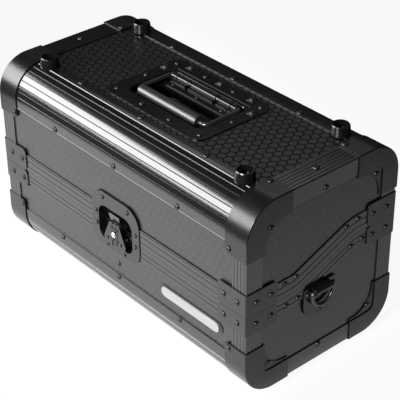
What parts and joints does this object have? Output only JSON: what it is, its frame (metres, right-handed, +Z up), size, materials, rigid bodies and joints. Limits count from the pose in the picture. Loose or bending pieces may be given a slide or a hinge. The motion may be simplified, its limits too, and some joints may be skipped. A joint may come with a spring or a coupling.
{
  "type": "record case",
  "caption": "Rounded aluminium-edged hard case for seven-inch records, with an S-jointed hinged lid, recessed twist latch, folding recessed handle, stacking cups and end D-rings.",
  "frame": {"origin": "middle of the case's shell in X and Y, at the tips of the feet", "axes": "+X along the case to the right seen from the front, +Y from the latch to the hinges, +Z up"},
  "size_m": [0.4924, 0.2529, 0.2845],
  "materials": {
    "laminate": "black decorative laminate on board, finely honeycomb-embossed",
    "extrusion": "black anodised, finely grooved",
    "cap_steel": "black coated pressed steel, semi-gloss",
    "rivet_steel": "black coated domed heads, glossy",
    "hardware": "black coated plate and wire, semi-gloss",
    "dark_metal": "black, satin",
    "bright_plate": "bare, fine brushed",
    "rubber": "hard, semi-gloss",
    "foam": "soft foam with a short nap",
    "grip": "smooth black sleeve",
    "spring_steel": "drawn wire, darkened"
  },
  "bodies": {
    "base": {"floor_panel": "laminate", "base_front_panel": "laminate", "base_back_panel": "laminate", "base_right_panel": "laminate", "base_left_panel": "laminate", "base_front_edge": "extrusion", "base_back_edge": "extrusion", "base_end_angles": "extrusion", "base_corner_posts": "extrusion", "base_front_rim": "extrusion", "base_back_rim": "extrusion", "base_right_rim": "extrusion", "base_left_rim": "extrusion", "base_right_caps": "cap_steel", "base_left_caps": "cap_steel", "base_brackets": "cap_steel", "base_rivets": "rivet_steel", "latch_dish": "hardware", "ring_lugs": "hardware", "base_hinge_leaves": "hardware", "hinge_pins": "hardware", "badge_holder": "dark_metal", "badge_plate": "bright_plate", "feet": "rubber", "base_lining": "foam"},
    "lid": {"top_panel": "laminate", "lid_front_panel": "laminate", "lid_back_panel": "laminate", "lid_right_panel": "laminate", "lid_left_panel": "laminate", "lid_front_edge": "extrusion", "lid_back_edge": "extrusion", "lid_end_angles": "extrusion", "lid_corner_posts": "extrusion", "lid_front_rim": "extrusion", "lid_back_rim": "extrusion", "lid_right_rim": "extrusion", "lid_left_rim": "extrusion", "lid_right_caps": "cap_steel", "lid_left_caps": "cap_steel", "lid_brackets": "cap_steel", "lid_rivets": "rivet_steel", "stacking_cups": "rubber", "cup_screws": "rivet_steel", "keeper_dish": "hardware", "lid_hinge_leaves": "hardware", "lid_lining": "foam", "handle_dish": "hardware", "handle_strip": "hardware", "handle_springs": "spring_steel"},
    "handle": {"bail": "hardware", "grip": "grip"},
    "ring_right": {"ring_right": "hardware"},
    "ring_left": {"ring_left": "hardware"},
    "latch_spindle": {"latch_spindle": "hardware"},
    "wing_right": {"wing_right": "hardware"},
    "wing_left": {"wing_left": "hardware"},
    "latch_carriage": {"latch_carriage": "hardware"},
    "latch_hook": {"latch_hook": "hardware"}
  },
  "joints": [
    {"name": "lid_hinge", "type": "hinge", "parent": "base", "child": "lid", "pos_m": [0, 0.1238, 0.1665], "axis": [-1, 0, 0], "range_deg": [0, 100]},
    {"name": "handle_swing", "type": "hinge", "parent": "lid", "child": "handle", "pos_m": [0, 0.027, 0.27], "axis": [-1, 0, 0], "range_deg": [0, 90], "stiffness_Nm_per_rad": 0.08, "springref_deg": -11.46},
    {"name": "latch_turn", "type": "hinge", "parent": "base", "child": "latch_spindle", "pos_m": [0, -0.1133, 0.125], "axis": [0, -1, 0], "range_deg": [0, 180]},
    {"name": "carriage_slide", "type": "slide", "parent": "base", "child": "latch_carriage", "axis": [0, 0, -1], "range_m": [0, 0.004]},
    {"name": "hook_tilt", "type": "hinge", "parent": "latch_carriage", "child": "latch_hook", "pos_m": [0, -0.1124, 0.14275], "axis": [-1, 0, 0], "range_deg": [0, 15]},
    {"name": "wing_right_fold", "type": "hinge", "parent": "latch_spindle", "child": "wing_right", "pos_m": [0.0052, -0.12225, 0.125], "axis": [0, 0, -1], "range_deg": [0, 85]},
    {"name": "wing_left_fold", "type": "hinge", "parent": "latch_spindle", "child": "wing_left", "pos_m": [-0.0052, -0.12225, 0.125], "axis": [0, 0, 1], "range_deg": [0, 85]},
    {"name": "ring_right_swing", "type": "hinge", "parent": "base", "child": "ring_right", "pos_m": [0.24185, -0.003, 0.118], "axis": [0, -1, 0], "range_deg": [0, 150]},
    {"name": "ring_left_swing", "type": "hinge", "parent": "base", "child": "ring_left", "pos_m": [-0.24185, -0.003, 0.118], "axis": [0, 1, 0], "range_deg": [0, 150]}
  ],
  "couplings": [
    {"joint": "carriage_slide", "follows": "latch_turn", "m_per_rad": 0.0012732},
    {"joint": "hook_tilt", "follows": "latch_turn", "ratio": 0.083333}
  ]
}
